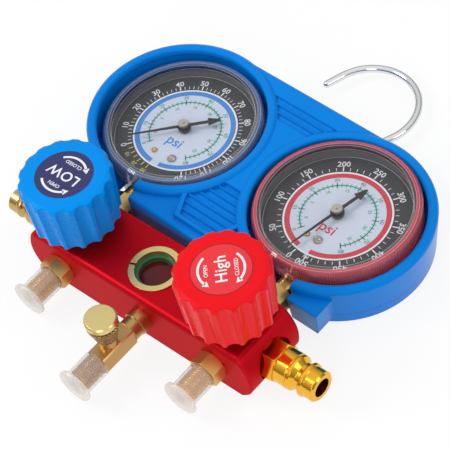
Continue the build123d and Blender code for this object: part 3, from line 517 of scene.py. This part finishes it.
for side, scale in scales.items():
    centre, face = axis_and_top(f"{side}_dial")
    ink = bmesh.new()
    add_band(ink, centre, white_outer, black_outer, 0.0, 360.0, face + first_ink)
    piece(f"{side}_dial_black_band", ink, dial_black, "manifold")

    ink = bmesh.new()
    ring_end, ring_start = scale["gap"]
    add_band(ink, centre, ring_inner, ring_outer, ring_start, 360.0 + ring_end - ring_start,
             face + first_ink)
    unit_place = Matrix.Translation((centre.x + 0.0008, centre.y - 0.0086, face + first_ink))
    add_word(ink, "psi", 0.0080, unit_place)
    piece(f"{side}_dial_colour", ink, ring_ink[side], "manifold")

    ink = bmesh.new()
    add_band(ink, centre, ring_outer, white_outer, 0.0, 360.0, face + second_ink)
    majors = [scale["zero"] + scale["step"] * mark for mark in range(scale["marks"] + 1)]
    small = scale["step"] / strokes_per_mark
    minors = [scale["zero"] + small * stroke for stroke in range(scale["marks"] * strokes_per_mark + 1)]
    add_ticks(ink, centre, face + third_ink, minors, 0.0268, 0.0286, 0.0003)
    add_ticks(ink, centre, face + last_ink, majors, 0.0266, 0.0292, 0.0006)
    numbers = [(str(scale["value"] * mark), angle) for mark, angle in enumerate(majors)]
    add_numbers(ink, centre, face + third_ink, numbers, number_radius, 0.0043)
    if side == "high":
        add_numbers(ink, centre, face + third_ink, [("PSI", majors[-1])], unit_radius, unit_size)
    piece(f"{side}_dial_white_print", ink, white_print, "manifold")

    ink = bmesh.new()
    add_band(ink, centre, 0.0176, 0.0183, green_start, -green_sweep, face + first_ink)
    strokes = [green_start - green_sweep / green_strokes * stroke for stroke in range(green_strokes + 1)]
    add_ticks(ink, centre, face + second_ink, strokes, 0.0168, 0.0192, 0.0004)
    add_ticks(ink, centre, face + second_ink, strokes[::5], 0.0162, 0.0198, 0.0005)
    green_step = green_sweep / 8
    outer_marks = [(str(10 * mark), green_start - green_step * mark) for mark in range(9)]
    add_numbers(ink, centre, face + second_ink, outer_marks, 0.0211, 0.0028)
    inner_marks = [(str(5 * mark), green_inner_start - green_step * mark) for mark in range(8)]
    add_numbers(ink, centre, face + second_ink, inner_marks, 0.0148, 0.0024)
    piece(f"{side}_dial_green_scale", ink, dial_green, "manifold")

    hub = bmesh.new()
    add_button(hub, centre, face + hub_height, 0.0029, 0.0026, 0.0007)
    add_button(hub, centre, face + pin_height, 0.0007, 0.0006, 0.0006, segments=24)
    piece(f"{side}_pointer_cap", hub, hub_steel, f"{side}_pointer_group")
    boss = bmesh.new()
    add_button(boss, centre, face + boss_height, 0.0030, 0.0034, 0.0022)
    piece(f"{side}_pointer_boss", boss, pointer_black, f"{side}_pointer_group")

# Below zero the low side reads a vacuum, on a short yellow scale of its own.
centre, face = axis_and_top("low_dial")
vacuum = bmesh.new()
vacuum_numbers = [(str(5 * mark), scales["low"]["zero"] + vacuum_step * mark)
                  for mark in range(1, vacuum_marks + 1)]
vacuum_angles = [angle for text, angle in vacuum_numbers]
add_ticks(vacuum, centre, face + third_ink, vacuum_angles, 0.0266, 0.0290, 0.0005)
add_numbers(vacuum, centre, face + third_ink, vacuum_numbers[1::2], number_radius, 0.0030)
piece("low_dial_vacuum_scale", vacuum, dial_yellow, "manifold")

# The lens is clear in the middle and tinted towards its rim in bands, with fine ribs round
# the skirt. The tint is the case's colour seen through the rim, with pale rings of painted
# highlight and grey bands of painted reflection. The case behind it is dark grey inside,
# where the dial sits, and painted outside.
tint_inner, tint_outer = 0.0345, 0.0405
skirt_radius = 0.0396
rib_turns, rib_share = 220.0, 0.25
grey_inside_radius = 0.0365
rim_tint = {"low": (0.20, 0.30, 0.55), "high": (0.72, 0.05, 0.09)}
rim_share = {"low": 0.42, "high": 0.75}


def away_from(tree, centre):
    """The distance from an upright axis."""
    node = tree.nodes.new("ShaderNodeVectorMath")
    node.operation = "LENGTH"
    tree.links.new(about_axis(tree, centre, flat=True), node.inputs[0])
    return node.outputs["Value"]


def paint_over(made, share, colour):
    """Paints a colour over a finish, where share is one."""
    tree = made.node_tree
    base = tree.nodes["Principled BSDF"].inputs["Base Color"]
    tree.links.new(lay_over(tree, share, base.links[0].from_socket, colour), base)


for side in ("low", "high"):
    centre, face = axis_and_top(f"{side}_dial")
    lens = sheer(f"{side}_lens_plastic", rough=0.03)
    tree = lens.node_tree
    away = away_from(tree, centre)
    hue, strong = rim_tint[side], rim_share[side]
    highlight_tint = [0.55 + 0.45 * part for part in hue]
    clear, reflection_grey = (1.0, 1.0, 1.0), (0.5, 0.5, 0.5)
    # The pale rings are painted highlights and the grey bands are painted reflection. The hue is the
    # case's colour seen through the rim.
    bands = [(0.0, clear, 0.0), (0.17, clear, 0.0), (0.20, highlight_tint, 0.45), (0.25, reflection_grey, 0.08),
             (0.40, reflection_grey, 0.12), (0.43, highlight_tint, 0.5), (0.47, hue, strong), (0.62, hue, strong),
             (0.65, highlight_tint, 0.6), (0.69, hue, strong * 0.6), (0.84, hue, strong * 0.6), (0.88, hue, 0.28)]
    tint = ramp(tree, spread(tree, away, 0.0, 1.0, tint_inner, tint_outer),
                [(place, (*colour, share)) for place, colour, share in bands])
    across, along, height = parts_of(tree, about_axis(tree, centre, flat=True))
    angle = reckon(tree, "ARCTAN2", along, across)
    wave = reckon(tree, "SINE", reckon(tree, "MULTIPLY", angle, rib_turns))
    ribs = reckon(tree, "MULTIPLY", wave, reckon(tree, "GREATER_THAN", away, skirt_radius))
    held = reckon(tree, "MULTIPLY_ADD", ribs, rib_share, tint.outputs["Alpha"], clamp=True)
    tree.links.new(held, tree.nodes["hold"].inputs["Fac"])
    tree.links.new(tint.outputs["Color"], tree.nodes["Principled BSDF"].inputs["Base Color"])
    coat(lens, f"{side}_gauge_lens")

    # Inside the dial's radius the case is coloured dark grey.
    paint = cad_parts[f"{side}_gauge_case"].material_slots[0].material
    inside = reckon(paint.node_tree, "LESS_THAN", away_from(paint.node_tree, centre), grey_inside_radius)
    paint_over(paint, inside, (0.13, 0.13, 0.14, 1.0))

# ---- boot ----
# One soft blue moulding that grips both gauges, with round lips, a ribbed web between them
# and box-shaped stops beside the gauge stems. It sits a little tilted, and the mould's
# parting line runs round its outside, level with its own foot.
boot_tilt = radians(3.8)
seam_height, seam_width = 0.0131, 0.0002
rubber = finish("blue_boot_rubber", colour=(0.002, 0.22, 0.74), rough=0.25, grain=420.0, depth=0.05,
                shade=0.93, edge=0.0012, Specular_Tint=(0.15, 0.6, 1.0, 1.0), Specular_IOR_Level=0.22)
level = rubber.node_tree.nodes.new("ShaderNodeVectorMath")
level.operation = "DOT_PRODUCT"
level.inputs[1].default_value = (sin(boot_tilt), 0.0, cos(boot_tilt))
rubber.node_tree.links.new(own_place(rubber.node_tree), level.inputs[0])
seam = reckon(rubber.node_tree, "COMPARE", level.outputs["Value"], seam_height, seam_width)
paint_over(rubber, seam, (0.001, 0.10, 0.42, 1.0))
coat(rubber, "gauge_boot")

# ---- hook ----
# Bright chromed steel wire, bent cold to an open bow. Its shank runs in a channel under the
# boot, and is free to turn in a brass bush in the back of the block.
coat(finish("bright_chrome", colour=(0.80, 0.80, 0.81), rough=0.08, metal=1.0, grain=600.0,
            depth=0.02, shade=0.9),
     "hook")

# ---- floor, world and lamps ----
# A pale floor that shows almost white and keeps the part's shadow, under a surround that
# grows from grey at the horizon to white overhead. Three small square lamps light the part.
floor_reach, floor_drop = 6.0, 0.0002
floor_glow = 0.85
floor_shape = bmesh.new()
bmesh.ops.create_grid(floor_shape, x_segments=1, y_segments=1, size=floor_reach,
                      matrix=Matrix.Translation((0, 0, -floor_drop)))
floor = bpy.data.objects.new("floor", from_bmesh("floor", floor_shape))
scene.collection.objects.link(floor)


def seen_rays(tree):
    """One for the rays that see the background, straight or through metal and glass."""
    ray = tree.nodes.new("ShaderNodeLightPath")
    total = ray.outputs["Is Camera Ray"]
    for other in ("Is Glossy Ray", "Is Transmission Ray"):
        total = reckon(tree, "MAXIMUM", total, ray.outputs[other])
    return total


paper = bpy.data.materials.new("white_paper")
paper.use_nodes = True
tree = paper.node_tree
skin = tree.nodes["Principled BSDF"]
skin.inputs["Base Color"].default_value = (0.93, 0.93, 0.94, 1.0)
skin.inputs["Roughness"].default_value = 0.8
glow = tree.nodes.new("ShaderNodeEmission")
glow.inputs["Color"].default_value = (1.0, 1.0, 1.0, 1.0)
lit = either(tree, reckon(tree, "MULTIPLY", seen_rays(tree), floor_glow), skin.outputs["BSDF"],
             glow.outputs["Emission"])
tree.links.new(lit.outputs["Shader"], tree.nodes["Material Output"].inputs["Surface"])
floor.data.materials.append(paper)

world = bpy.data.worlds.new("surround")
world.use_nodes = True
scene.world = world
tree = world.node_tree
height = parts_of(tree, tree.nodes.new("ShaderNodeTexCoord").outputs["Generated"])["Z"]
sky = ramp(tree, height, ((0.1, (0.245, 0.2475, 0.25, 1.0)), (0.75, (0.833, 0.8415, 0.85, 1.0)),
                          (1.0, (1.0, 1.0, 1.0, 1.0))))
tree.links.new(sky.outputs["Color"], tree.nodes["Background"].inputs["Color"])

lamp_size = 0.5
for name, place, aim, power in (
    ("key_lamp", (-0.9, -0.6, 1.2), (0.0, 0.04, 0.02), 8.0),
    ("front_lamp", (0.6, -1.1, 0.8), (0.0, 0.04, 0.02), 3.5),
    ("side_lamp", (1.2, 0.3, 0.7), (0.05, 0.04, 0.02), 2.0),
):
    lamp = bpy.data.lights.new(name, "AREA")
    lamp.shape = "SQUARE"
    lamp.size = lamp_size
    lamp.energy = power
    holder = bpy.data.objects.new(name, lamp)
    holder.location = place
    holder.rotation_euler = (Vector(aim) - Vector(place)).to_track_quat("-Z", "Y").to_euler()
    scene.collection.objects.link(holder)
